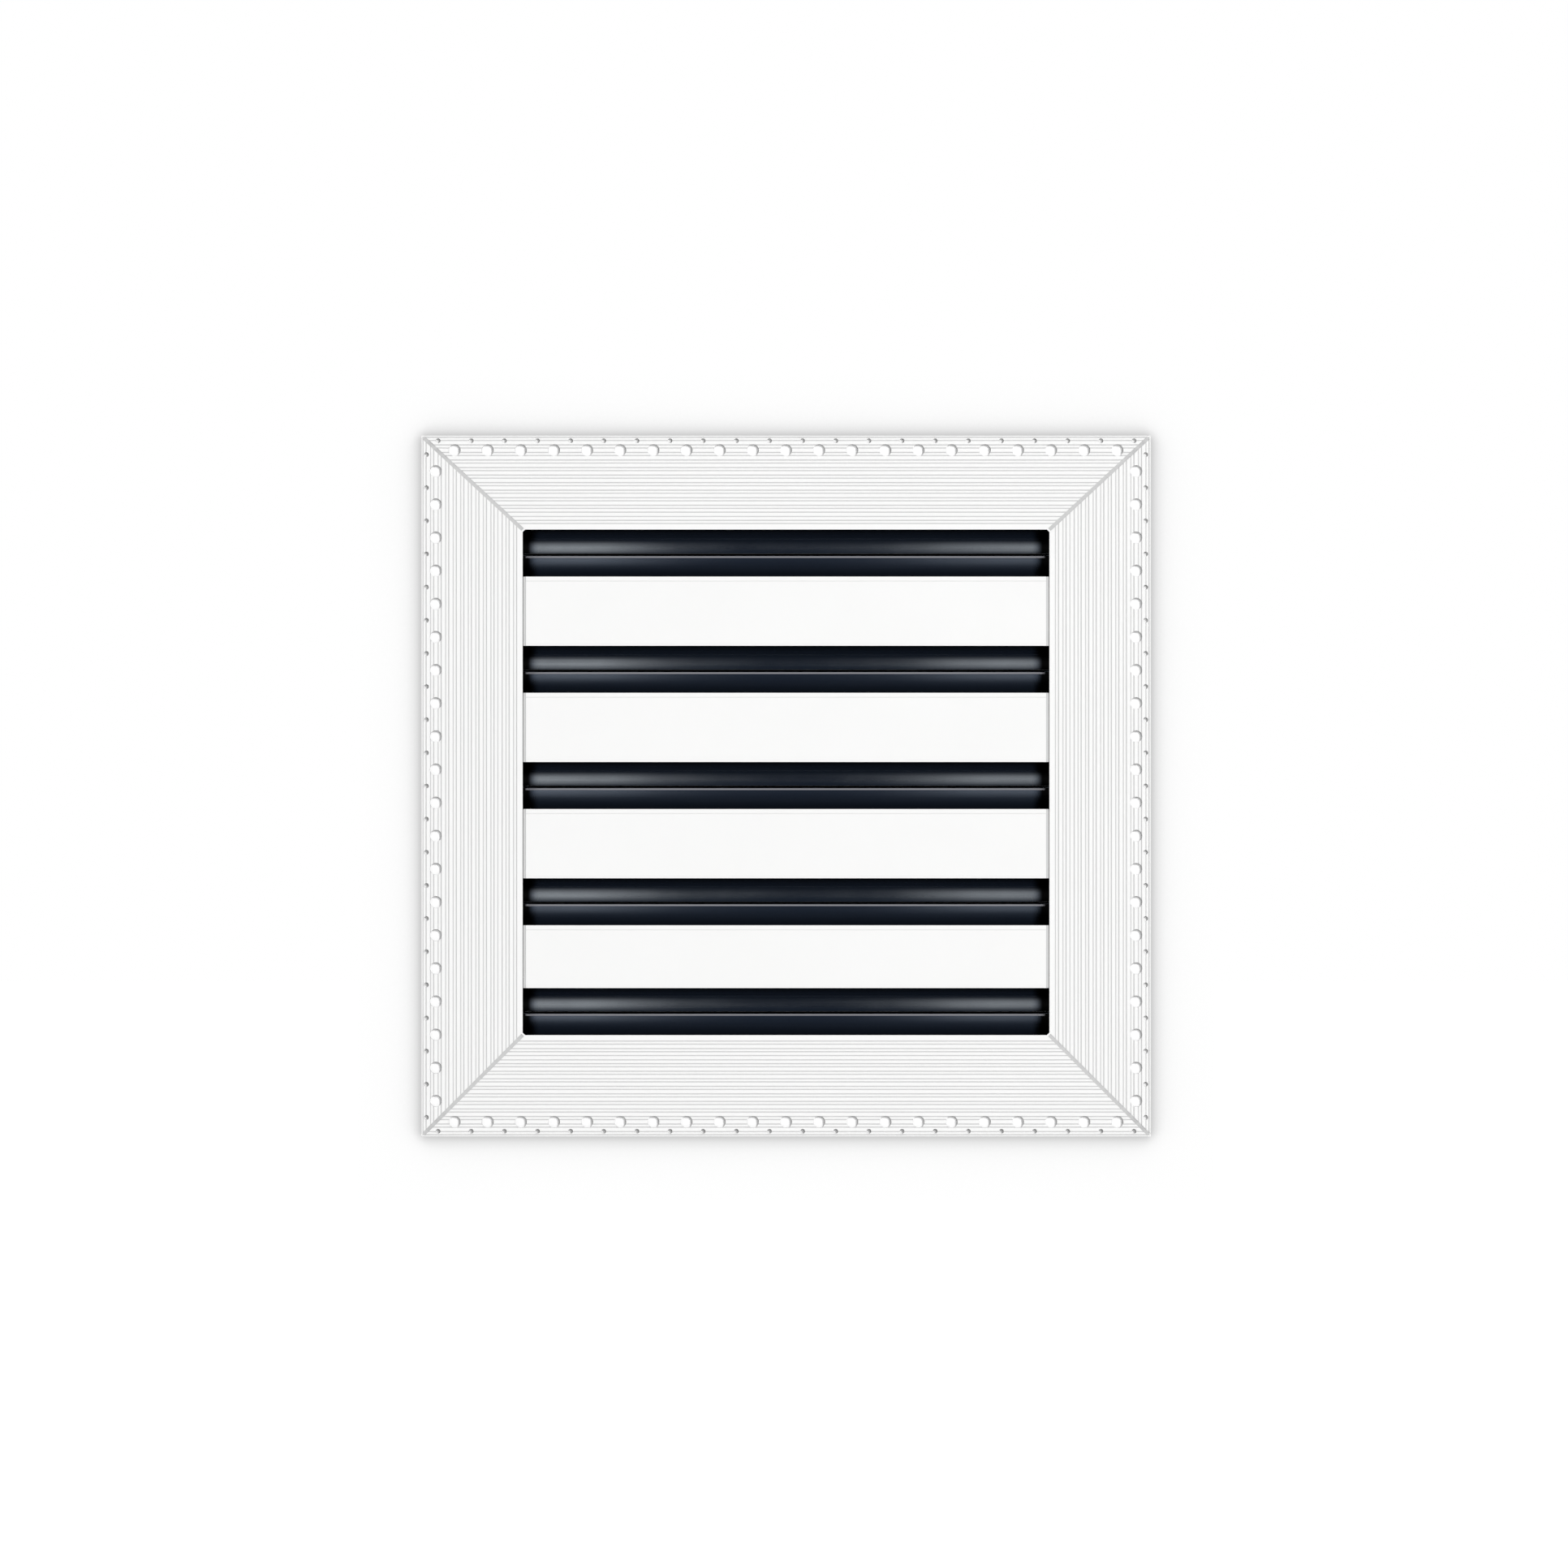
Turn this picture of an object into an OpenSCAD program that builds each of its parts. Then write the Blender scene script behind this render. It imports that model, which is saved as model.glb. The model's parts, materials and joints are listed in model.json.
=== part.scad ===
// Plaster-in linear slot diffuser: a mitred, grooved and perforated flange with a collar behind it,
// and a core of slotted bars whose paired deflector blades turn in hinge knuckles along each slot.
// The wall's surface is the plane Y = 0, the room lies towards -Y, and the origin is the flange's middle.

/* [Slots] */
// Clear width of every slot
slot_w = 213; // [160:1:320]
// Clear height of every slot
slot_h = 19; // [18:0.5:24]
// Height of the bars between the upper slots
bar_h = 28; // [24:0.2:36]
// Height of the lowest bar
low_bar_h = 25.4; // [24:0.2:36]

/* [Flange] */
// Width of the flange at the left and right
side_flange = 41; // [36:0.5:55]
// Width of the flange at the bottom
low_flange = 41; // [36:0.5:55]
// Width of the flange at the top
top_flange = 38; // [36:0.5:55]
// Thickness of the flange and of the bars' faces
flange_t = 2; // [1.8:0.1:3]
// Chamfer along the flange's outer front edge
edge_break = 0.3; // [0.1:0.05:0.5]
// Width of the sunk line along each mitre
mitre_w = 1.45; // [0.8:0.05:2]
// Depth of that line
mitre_depth = 0.6; // [0.5:0.05:0.8]
// Length of the weld across each inner corner, along the slot's edges
corner_weld = 1; // [0.6:0.1:2]

/* [Grooves] */
// Distance from one groove to the next
groove_pitch = 3.05; // [2.6:0.05:4]
// Distance between the middles of a groove's two sloping walls
groove_w = 1.25; // [0.9:0.05:1.5]
// Which groove is the wide one, counted from the flange's outer edge
wide_groove = 11; // [1:1:13]
// Distance between the middles of the wide groove's walls
wide_groove_w = 1.75; // [1.3:0.05:1.9]
// Depth of a groove
groove_depth = 0.45; // [0.3:0.05:0.6]
// Distance from the flange's outer edge to the middle of the first groove
groove_edge = 1.35; // [1.2:0.05:2]
// Least distance from the middle of the last groove to the slots
groove_land = 2.2; // [1.6:0.1:4]

/* [Perforation] */
// Diameter of the fixing holes
fixing_hole_d = 4.8; // [4:0.1:5.5]
// Distance of the fixing holes from the outer edge
fixing_hole_inset = 5.9; // [5.4:0.1:8]
// Diameter of the small keying holes
keying_hole_d = 1.9; // [1.5:0.1:2.2]
// Distance of the keying holes from the outer edge
keying_hole_inset = 2.1; // [1.8:0.1:2.6]
// Distance from one hole to the next in a row
hole_pitch = 13.4; // [10:0.1:18]
// Least distance from the middle of a fixing hole to its member's end
hole_end_room = 11; // [10:0.5:16]

/* [Collar] */
// Reach of the collar behind the wall's surface
collar_depth = 32; // [29:0.5:45]
// Thickness of the collar's inner wall
collar_t = 1.6; // [1.2:0.1:2.5]
// Thickness of the corner key chamber's outer walls
chamber_t = 1.4; // [1:0.1:2]
// Clear width of the corner key chamber
chamber_w = 3.2; // [2.8:0.1:5]
// Clear depth of the corner key chamber, front to back
chamber_depth = 11; // [8:0.5:12]
// Distance of the chamber behind the wall's surface
chamber_start = 3; // [1:0.5:3.5]

/* [Corner keys] */
// Length of a corner key's legs along its outside
key_leg = 34; // [28:1:45]
// Room between a corner key and its chamber, on each side
key_room = 0.1; // [0.05:0.05:0.3]
// Diameter of the grub screws
grub_d = 4; // [3:0.5:5]
// Distance from a key's end to its first grub screw
grub_end = 6; // [4:0.5:8]
// Distance between the two grub screws of a leg
grub_pitch = 12; // [8:0.5:14]
// Width across the flats of the grub screws' sockets
grub_socket = 2; // [1.5:0.1:2.4]
// Depth of the grub screws' sockets
grub_socket_depth = 0.9; // [0.5:0.1:1.1]

/* [Core] */
// Reach of the bars, rails and end caps behind the wall's surface
core_depth = 28; // [27:0.5:29]
// Room between the core and the frame round it
core_room = 0.2; // [0.1:0.05:0.3]
// Distance of the hinge legs behind the slots' edges
leg_gap = 2.5; // [2:0.1:3.5]
// Thickness of the hinge legs
leg_t = 1.6; // [1.4:0.1:2.2]
// Thickness of the end caps
cap_t = 2; // [1.8:0.1:2.4]
// Width of the rebate at the ends of the bars' faces
rebate_w = 1.1; // [0.6:0.1:2]
// Depth of that rebate
rebate_depth = 0.8; // [0.4:0.1:1.2]
// Height of the raised border along the top of the bars' faces
top_border = 1.75; // [1:0.05:3]
// Height of the raised border along the bottom of the bars' faces
low_border = 0.8; // [0.5:0.05:3]
// Height by which those borders stand proud
border_rise = 0.15; // [0.05:0.05:0.4]

/* [Hinges] */
// Diameter of the bead along each blade
bead_d = 2.8; // [2.4:0.1:3.2]
// Running clearance round the bead
bead_room = 0.08; // [0.03:0.01:0.1]
// Wall of the knuckles that hold the beads
knuckle_t = 0.9; // [0.8:0.05:1.2]
// Distance of the hinge axes behind the front face
pivot_depth = 9.5; // [8.5:0.1:11]
// Distance of the hinge axes from the legs
pivot_offset = 1; // [0.8:0.1:1.4]
// Room between an open or closed blade and its knuckle's mouth
mouth_room = 0.15; // [0.1:0.01:0.2]

/* [Blades] */
// Thickness of the blades
blade_t = 1; // [0.8:0.1:1.2]
// Distance of a closed blade's crown in front of its hinge axis
blade_rise = 3; // [2.4:0.1:3.5]
// Distance of that crown from the hinge axis, along the slot's height
blade_crown = 8.7; // [8:0.1:9.4]
// Gap between the two closed blades of a slot
seam_gap = 0.75; // [0.6:0.05:1.2]
// Distance of that gap below the slot's middle
seam_drop = 0.5; // [0:0.05:1]
// Room between a blade and the end caps
blade_end_room = 0.6; // [0.3:0.1:1.5]
// Angle through which a blade opens, in degrees
blade_travel = 80; // [60:1:80]

/* [Screws] */
// Diameter of the cap screws and core screws
screw_d = 2.9; // [2.5:0.1:3.2]
// Room round a screw in its port or tapped hole
thread_room = 0.05; // [0.03:0.01:0.1]
// Room round a screw in a plain hole
hole_room = 0.15; // [0.1:0.05:0.3]
// Wall of the screw ports along the legs
port_t = 0.9; // [0.7:0.1:1.2]
// Opening angle of the screw ports, in degrees
port_mouth = 70; // [40:5:90]
// Distance of the screw ports from the legs' rear ends
port_inset = 3.5; // [3:0.1:4]
// Distance of the screw ports from the legs
port_offset = 1.1; // [0.9:0.1:1.4]
// Reach of the cap screws from the end caps' outer faces
cap_screw_reach = 12; // [8:0.5:20]
// Diameter of the cap screws' heads
cap_head_d = 5.4; // [4.6:0.1:5.6]
// Diameter of the core screws' heads
core_head_d = 5.6; // [5:0.1:6.2]
// Height of the core screws' heads
core_head_h = 2; // [1.8:0.1:2.6]
// Radius of the dome on the core screws' heads
core_dome_r = 4.4; // [4.2:0.1:6]
// Room between the core screws' heads and the corner key chamber
core_head_room = 1; // [0.6:0.1:1.4]
// Distance from one core screw to the next
core_screw_pitch = 80; // [50:1:95]
// Reach of the core screws past the rails
core_screw_past = 1; // [0.5:0.1:1.5]
// Width of the screws' cross recesses
recess_w = 0.7; // [0.5:0.1:0.9]
// Length of the screws' cross recesses
recess_l = 3; // [2.4:0.1:3.4]
// Depth of the screws' cross recesses
recess_depth = 0.8; // [0.5:0.1:1]

/* [Hidden] */
$fn = 48;
slots = 5;
over = 1;

FRAME = ["flange_top", "flange_bottom", "flange_left", "flange_right"];
KEYS = ["corner_key_top_left", "corner_key_top_right", "corner_key_bottom_left", "corner_key_bottom_right"];
CORE = ["rail_top", "rail_bottom", "end_cap_left", "end_cap_right"];
SCREWS = ["key_screws", "cap_screws", "core_screws"];
function mullion_name(i) = str("mullion_", i + 1);
function blade_name(i, side) = str("blade_", i + 1, side > 0 ? "_upper" : "_lower");
MULLIONS = [for (i = [0 : slots - 2]) mullion_name(i)];
BLADES = [for (i = [0 : slots - 1], side = [1, -1]) blade_name(i, side)];

// Heights of the bars from the top down, and the slots' places that follow from them
bars = [for (i = [0 : slots - 2]) i < slots - 2 ? bar_h : low_bar_h];
function bars_above(i) = i == 0 ? 0 : bars_above(i - 1) + bars[i - 1];
opening_h = slots * slot_h + bars_above(slots - 1);
outer_w = slot_w + 2 * side_flange;
outer_h = opening_h + top_flange + low_flange;
opening_top = outer_h / 2 - top_flange;
opening_low = -outer_h / 2 + low_flange;
function slot_z(i) = opening_top - (i + 0.5) * slot_h - bars_above(i);
function bar_z(i) = slot_z(i) - (slot_h + bars[i]) / 2;

// Distances outwards from the slots' edges
leg_back = leg_gap + leg_t;
lip = leg_back + core_room;
chamber_in = lip + collar_t;
chamber_out = chamber_in + chamber_w;
collar_out = chamber_out + chamber_t;

// Depths along Y
front = -flange_t;
chamber_end = chamber_start + chamber_depth;
core_screw_y = chamber_end + chamber_t + core_head_d / 2 + core_head_room;
pivot_y = front + pivot_depth;
port_y = core_depth - port_inset;

// Widths along X
core_w = slot_w + 2 * (lip - core_room - cap_t);
face_w = slot_w - 2 * core_room;
blade_w = core_w - 2 * blade_end_room;

// Hinge and blade, measured from the hinge axis towards the seam and towards the room
bore_r = bead_d / 2 + bead_room;
knuckle_r = bore_r + knuckle_t;
pivot_z = slot_h / 2 + leg_gap - pivot_offset;
blade_r = (blade_crown * blade_crown + blade_rise * blade_rise) / (2 * blade_rise);
neck = asin(blade_crown / blade_r);
neck_at_bore = neck - asin(bore_r / (2 * blade_r));
mouth_half = asin((blade_t / 2 + mouth_room) / bore_r);
mouth_from = neck_at_bore - blade_travel - mouth_half;
mouth_to = neck_at_bore + mouth_half;
function blade_reach(side) = pivot_z + side * seam_drop - seam_gap / 2;

// Screw ports
port_bore_r = screw_d / 2 + thread_room;
port_r = port_bore_r + port_t;
port_z = slot_h / 2 + leg_gap - port_offset;
cap_head_h = (cap_head_d - screw_d) / 2;
sink_d = cap_head_d + 2 * thread_room;
grub_reach = chamber_t + key_room;

// Extrudes a section drawn in Y and Z along X
module along_x(length) {
    translate([-length / 2, 0, 0])
        rotate([90, 0, 90])
            linear_extrude(length)
                children();
}

// Cylinder along Y from y0 to y1
module along_y(y0, y1, d) {
    translate([0, y1, 0])
        rotate([90, 0, 0])
            cylinder(h = y1 - y0, d = d);
}

// Wedge with its point at the origin that opens from one angle to another
module wedge(from, to, reach) {
    middle = (from + to) / 2;
    polygon([
        [0, 0],
        reach * [cos(from), sin(from)],
        reach * [cos(middle), sin(middle)],
        reach * [cos(to), sin(to)]
    ]);
}

// One groove's section, w wide between its walls, sunk into the front face at the distance u from the edge
module groove(u, w) {
    half_top = (w + groove_depth) / 2;
    half_floor = (w - groove_depth) / 2;
    polygon([
        [front - over, u - half_top],
        [front, u - half_top],
        [front + groove_depth, u - half_floor],
        [front + groove_depth, u + half_floor],
        [front, u + half_top],
        [front - over, u + half_top]
    ]);
}

// Section of a flange member, with its outer edge at zero and its slot edge at its width
module flange_section(width) {
    grooves = floor((width - groove_edge - groove_land) / groove_pitch);
    difference() {
        union() {
            polygon([
                [0, 0],
                [0, width],
                [front, width],
                [front, edge_break],
                [front + edge_break, 0]
            ]);
            translate([front / 2, width - chamber_in])
                square([collar_depth - front / 2, collar_t]);
            translate([front / 2, width - collar_out])
                square([chamber_end + chamber_t - front / 2, collar_out - lip]);
        }
        for (i = [0 : grooves])
            groove(groove_edge + i * groove_pitch, i + 1 == wide_groove ? wide_groove_w : groove_w);
        translate([chamber_start, width - chamber_out])
            square([chamber_depth, chamber_w]);
    }
}

// Sunk line along the mitre that starts at an outer corner and rises by width over inset
module mitre_groove(corner, inset, width) {
    length = 2 * sqrt(inset * inset + width * width);
    translate([corner, front, 0])
        rotate([0, -atan2(width, inset), 0])
            cube([length, 2 * mitre_depth, mitre_w], center = true);
}

// This member's half of the weld across an inner corner, with the corner at the origin and the slot above
module weld_half() {
    rotate([90, 0, 0])
        linear_extrude(flange_t)
            polygon([
                [0, 0],
                [-corner_weld / 2, corner_weld / 2],
                [-corner_weld, 0],
                [-corner_weld, -corner_weld / 2]
            ]);
}

// Row of holes along X through the flange at the distance inset from its outer edge
module hole_row(count, inset, d) {
    for (i = [0 : count - 1])
        translate([(i - (count - 1) / 2) * hole_pitch, 0, inset])
            along_y(front - over, over, d);
}

// Core screw places along a member
module each_core_screw() {
    for (i = [-1 : 1])
        translate([i * core_screw_pitch, core_screw_y, 0])
            children();
}

// Grub screw places along the leg of a key whose outside corner is at the distance corner
module each_grub(corner) {
    for (i = [0, 1])
        translate([corner - key_leg + grub_end + i * grub_pitch, (chamber_start + chamber_end) / 2, 0])
            children();
}

// Flange member lying along X with its outer edge at Z = 0, mitred at both ends.
// inset_from and inset_to are the widths of the members that meet it at -X and +X.
module flange_member(width, run, inset_from, inset_to, screwed) {
    fixing_holes = floor((run - 2 * hole_end_room) / hole_pitch) + 1;
    difference() {
        intersection() {
            along_x(run)
                flange_section(width);
            rotate([90, 0, 0])
                linear_extrude(4 * collar_depth, center = true)
                    polygon([
                        [-run / 2, 0],
                        [run / 2, 0],
                        [run / 2 - inset_to, width],
                        [-run / 2 + inset_from, width]
                    ]);
        }
        mitre_groove(-run / 2, inset_from, width);
        mitre_groove(run / 2, -inset_to, width);
        hole_row(fixing_holes, fixing_hole_inset, fixing_hole_d);
        hole_row(fixing_holes + 1, keying_hole_inset, keying_hole_d);
        translate([0, 0, width - collar_out - over])
            each_grub(run / 2 - inset_to + chamber_out - key_room)
                cylinder(h = chamber_t + 2 * over, d = grub_d + 2 * thread_room);
        translate([0, 0, width - collar_out - over])
            mirror([1, 0, 0])
                each_grub(run / 2 - inset_from + chamber_out - key_room)
                    cylinder(h = chamber_t + 2 * over, d = grub_d + 2 * thread_room);
        if (screwed)
            translate([0, 0, width - chamber_in - over])
                each_core_screw()
                    cylinder(h = collar_t + 2 * over, d = screw_d + 2 * hole_room);
    }
    translate([run / 2 - inset_to, 0, width])
        weld_half();
    translate([-run / 2 + inset_from, 0, width])
        mirror([1, 0, 0])
            weld_half();
}

module flange_top() {
    color("white")
        translate([0, 0, outer_h / 2])
            rotate([0, 180, 0])
                flange_member(top_flange, outer_w, side_flange, side_flange, true);
}

module flange_bottom() {
    color("white")
        translate([0, 0, -outer_h / 2])
            flange_member(low_flange, outer_w, side_flange, side_flange, true);
}

module flange_left() {
    color("white")
        translate([-outer_w / 2, 0, 0])
            rotate([0, 90, 0])
                flange_member(side_flange, outer_h, top_flange, low_flange, false);
}

module flange_right() {
    color("white")
        translate([outer_w / 2, 0, 0])
            rotate([0, -90, 0])
                flange_member(side_flange, outer_h, low_flange, top_flange, false);
}

// Places a key or screws at the outside corner of a key, turned so that its legs run to +X and +Z
module at_corner(right, top) {
    x = slot_w / 2 + chamber_out - key_room;
    z = (top ? opening_top : -opening_low) + chamber_out - key_room;
    mirror([right ? 1 : 0, 0, 0])
        mirror([0, 0, top ? 1 : 0])
            translate([-x, 0, -z])
                children();
}

// L-shaped bar in the collar's chamber that joins two flange members
module corner_key() {
    bar = chamber_w - 2 * key_room;
    color("silver")
        translate([0, chamber_end - key_room, 0])
            rotate([90, 0, 0])
                linear_extrude(chamber_depth - 2 * key_room)
                    polygon([[0, 0], [key_leg, 0], [key_leg, bar], [bar, bar], [bar, key_leg], [0, key_leg]]);
}

// Grub screw pointing up, with its outer end at Z = 0 and a hexagon socket there
module grub_screw() {
    difference() {
        cylinder(h = grub_reach, d = grub_d);
        translate([0, 0, -over])
            cylinder(h = grub_socket_depth + over, d = grub_socket / cos(30), $fn = 6);
    }
}

// The two grub screws of a key's leg along X
module leg_grubs() {
    for (i = [0, 1])
        translate([key_leg - grub_end - i * grub_pitch, (chamber_start + chamber_end) / 2, -grub_reach])
            grub_screw();
}

module key_screws() {
    color("dimgray")
        for (right = [false, true], top = [false, true])
            at_corner(right, top) {
                leg_grubs();
                rotate([0, -90, 0])
                    mirror([0, 0, 1])
                        leg_grubs();
            }
}

// Hinge leg in Y and Z with the slot's edge at Z = 0 and the slot above it: a plate that starts at
// the depth start, a knuckle that holds a blade's bead and a port that an end screw cuts its thread in
module leg_section(start) {
    difference() {
        union() {
            translate([start, -leg_back])
                square([core_depth - start, leg_t]);
            translate([pivot_y, pivot_offset - leg_gap])
                circle(r = knuckle_r);
            translate([port_y, port_offset - leg_gap])
                circle(r = port_r);
        }
        translate([pivot_y, pivot_offset - leg_gap])
            rotate(90) {
                circle(r = bore_r);
                wedge(mouth_from, mouth_to, 3 * knuckle_r);
            }
        translate([port_y, port_offset - leg_gap])
            rotate(90) {
                circle(r = port_bore_r);
                wedge(-port_mouth / 2, port_mouth / 2, 3 * port_r);
            }
    }
}

// Rail below a slot whose lower edge is at Z = 0, with holes for the core screws
module rail() {
    color("dimgray")
        difference() {
            along_x(core_w)
                leg_section(0);
            translate([0, 0, -leg_back - over])
                each_core_screw()
                    cylinder(h = leg_t + 2 * over, d = screw_d + 2 * thread_room);
        }
}

module rail_top() {
    translate([0, 0, opening_top])
        mirror([0, 0, 1])
            rail();
}

module rail_bottom() {
    translate([0, 0, opening_low])
        rail();
}

// Section of a bar with its middle at Z = 0: a bordered face in front and a hinge leg at each edge
module mullion_section(height) {
    polygon([
        [0, height / 2],
        [front, height / 2],
        [front, height / 2 - top_border],
        [front + border_rise, height / 2 - top_border - border_rise],
        [front + border_rise, -height / 2 + low_border + border_rise],
        [front, -height / 2 + low_border],
        [front, -height / 2],
        [0, -height / 2]
    ]);
    translate([0, height / 2])
        leg_section(front / 2);
    mirror([0, 1])
        translate([0, height / 2])
            leg_section(front / 2);
}

// Bar between two slots: its face is notched back at both ends, where its legs pass behind the flange
module mullion(i) {
    notch = (core_w - face_w) / 2;
    color("white")
        translate([0, 0, bar_z(i)])
            difference() {
                along_x(core_w)
                    mullion_section(bars[i]);
                for (side = [-1, 1]) {
                    translate([side * (core_w + face_w + 2 * over) / 4, (front - over) / 2, 0])
                        cube([notch + over, -front + over, bars[i] + 2 * over], center = true);
                    translate([side * face_w / 2, front, 0])
                        cube([2 * rebate_w, 2 * rebate_depth, bars[i] + 2 * over], center = true);
                }
            }
}

// End screw places on the end caps: one port for each rail and two for each bar
module each_port() {
    for (i = [0 : slots - 1], side = [-1, 1])
        translate([0, port_y, slot_z(i) + side * port_z])
            children();
}

// End cap at the right, with its inner face at X = 0
module end_cap() {
    low = opening_low - leg_back;
    high = opening_top + leg_back;
    color("black")
        difference() {
            translate([0, 0, low])
                cube([cap_t, core_depth, high - low]);
            each_port()
                rotate([0, 90, 0]) {
                    translate([0, 0, -over])
                        cylinder(h = cap_t + 2 * over, d = screw_d + 2 * hole_room);
                    translate([0, 0, cap_t - cap_head_h - hole_room])
                        cylinder(h = cap_head_h, d1 = screw_d + 2 * thread_room, d2 = sink_d);
                    translate([0, 0, cap_t - hole_room])
                        cylinder(h = hole_room + over, d = sink_d);
                }
        }
}

module end_cap_right() {
    translate([core_w / 2, 0, 0])
        end_cap();
}

module end_cap_left() {
    mirror([1, 0, 0])
        end_cap_right();
}

// Cross recess sunk below Z = 0
module cross_recess() {
    for (turn = [0, 90])
        rotate(turn)
            translate([0, 0, (over - recess_depth) / 2])
                cube([recess_l, recess_w, recess_depth + over], center = true);
}

// Countersunk screw pointing down, with its head's top at Z = 0
module cap_screw() {
    difference() {
        union() {
            translate([0, 0, -cap_head_h])
                cylinder(h = cap_head_h, d1 = screw_d, d2 = cap_head_d);
            translate([0, 0, hole_room - cap_screw_reach])
                cylinder(h = cap_screw_reach - cap_head_h - hole_room, d = screw_d);
        }
        cross_recess();
    }
}

module cap_screws() {
    color("silver")
        for (side = [0, 1])
            mirror([side, 0, 0])
                translate([core_w / 2 + cap_t - hole_room, 0, 0])
                    each_port()
                        rotate([0, 90, 0])
                            cap_screw();
}

// Domed pan head screw pointing up, seated at Z = 0
module core_screw() {
    reach = chamber_in - leg_gap + core_screw_past;
    difference() {
        union() {
            intersection() {
                translate([0, 0, -core_head_h])
                    cylinder(h = core_head_h, d = core_head_d);
                translate([0, 0, core_dome_r - core_head_h])
                    sphere(r = core_dome_r);
            }
            cylinder(h = reach, d = screw_d);
        }
        translate([0, 0, -core_head_h])
            mirror([0, 0, 1])
                cross_recess();
    }
}

module core_screws() {
    color("silver") {
        translate([0, 0, opening_low - chamber_in])
            each_core_screw()
                core_screw();
        translate([0, 0, opening_top + chamber_in])
            mirror([0, 0, 1])
                each_core_screw()
                    core_screw();
    }
}

// Section of a closed blade from its hinge axis, with the seam towards +X and the room towards +Y
module blade_section(reach) {
    nose = 90 - asin((reach - blade_t / 2 - blade_crown) / blade_r);
    circle(d = bead_d);
    translate([blade_crown, blade_rise - blade_r]) {
        intersection() {
            difference() {
                circle(r = blade_r + blade_t / 2);
                circle(r = blade_r - blade_t / 2);
            }
            wedge(nose, 90 + neck, 3 * blade_r);
        }
        rotate(nose)
            translate([blade_r, 0])
                circle(d = blade_t);
    }
}

// Blade of a slot: side is 1 for the upper one and -1 for the lower one
module blade(i, side) {
    color([0.09, 0.11, 0.14])
        translate([0, pivot_y, slot_z(i) + side * pivot_z])
            along_x(blade_w)
                mirror([0, side > 0 ? 1 : 0])
                    rotate(90)
                        blade_section(blade_reach(side));
}

flange_top();
flange_bottom();
flange_left();
flange_right();
at_corner(false, true) corner_key();  // corner_key_top_left
at_corner(true, true) corner_key();  // corner_key_top_right
at_corner(false, false) corner_key();  // corner_key_bottom_left
at_corner(true, false) corner_key();  // corner_key_bottom_right
rail_top();
rail_bottom();
end_cap_left();
end_cap_right();
for (i = [0 : slots - 2])
    mullion(i);
for (i = [0 : slots - 1], side = [1, -1])
    blade(i, side);
key_screws();
cap_screws();
core_screws();
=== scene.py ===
import json
import math

import bpy
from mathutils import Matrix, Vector


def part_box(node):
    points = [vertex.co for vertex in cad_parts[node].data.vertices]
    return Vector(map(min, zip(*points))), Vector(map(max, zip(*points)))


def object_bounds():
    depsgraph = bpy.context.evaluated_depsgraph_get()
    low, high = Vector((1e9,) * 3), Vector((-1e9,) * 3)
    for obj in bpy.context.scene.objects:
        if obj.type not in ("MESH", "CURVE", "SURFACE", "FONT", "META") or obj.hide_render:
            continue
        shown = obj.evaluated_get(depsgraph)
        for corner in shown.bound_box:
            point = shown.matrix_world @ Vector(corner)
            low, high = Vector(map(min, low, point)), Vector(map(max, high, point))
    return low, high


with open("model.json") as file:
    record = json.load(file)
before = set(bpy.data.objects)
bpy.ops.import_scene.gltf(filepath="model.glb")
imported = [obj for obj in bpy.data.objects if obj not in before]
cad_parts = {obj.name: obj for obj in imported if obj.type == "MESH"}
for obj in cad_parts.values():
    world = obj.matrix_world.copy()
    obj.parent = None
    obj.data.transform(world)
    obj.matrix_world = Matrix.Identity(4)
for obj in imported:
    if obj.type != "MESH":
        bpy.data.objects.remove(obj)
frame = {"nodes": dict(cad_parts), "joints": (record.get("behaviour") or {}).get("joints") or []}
cad_low, cad_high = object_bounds()

# Flange members: four mitred aluminium extrusions, grooved along their length, punched with two rows of
# holes and joined by corner keys. They are powder coated white, with grey painted shade on the sloping
# sides of the grooves, in the mitres and on the walls of the holes, and sprayed flat black round the
# opening, just behind the face.
MM = 0.001
nodes = frame["nodes"]
flange_white = (0.897, 0.897, 0.892, 1)
# The three greys below are painted shade: on the groove slopes, in the mitres and on the hole walls. The
# first is also laid a little along worn edges.
shade_and_wear_grey = (0.66, 0.66, 0.66, 1)
mitre_shade_grey = (0.59, 0.59, 0.59, 1)
hole_wall_shade_grey = (0.25, 0.25, 0.25, 1)
inner_black = (0.006, 0.006, 0.007, 1)
white_edge_r = 0.15 * MM
rim_w = 0.4 * MM
rim_fade = 0.2 * MM
hole_rows_w = 8.5 * MM
hole_rows_fade = 0.5 * MM
mitre_sunk = 0.6 * MM
mitre_near = 0.04 * MM
mitre_far = 0.06 * MM
collar_inset = 30.0 * MM
collar_fade = 1.0 * MM
slot_edge_inset = 37.8 * MM
slot_edge_fade = 0.1 * MM
flange_paint_end = -1.15 * MM
lip_paint_end = -1.7 * MM
paint_blur = 0.2 * MM
# Nearly all values of a noise lie between these two.
noise_low = 0.3
noise_high = 0.7


def place(tree, kind, inputs=None, **settings):
    """Adds a node, sets its properties, and fills or links its inputs."""
    node = tree.nodes.new(kind)
    for name, value in settings.items():
        setattr(node, name, value)
    for socket, value in (inputs or {}).items():
        if isinstance(value, bpy.types.NodeSocket):
            tree.links.new(value, node.inputs[socket])
        else:
            node.inputs[socket].default_value = value
    return node


def reckon(tree, operation, first, second=0.0):
    """The value that a Math node gives for one or two values or sockets."""
    return place(tree, "ShaderNodeMath", {0: first, 1: second}, operation=operation).outputs[0]


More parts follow.
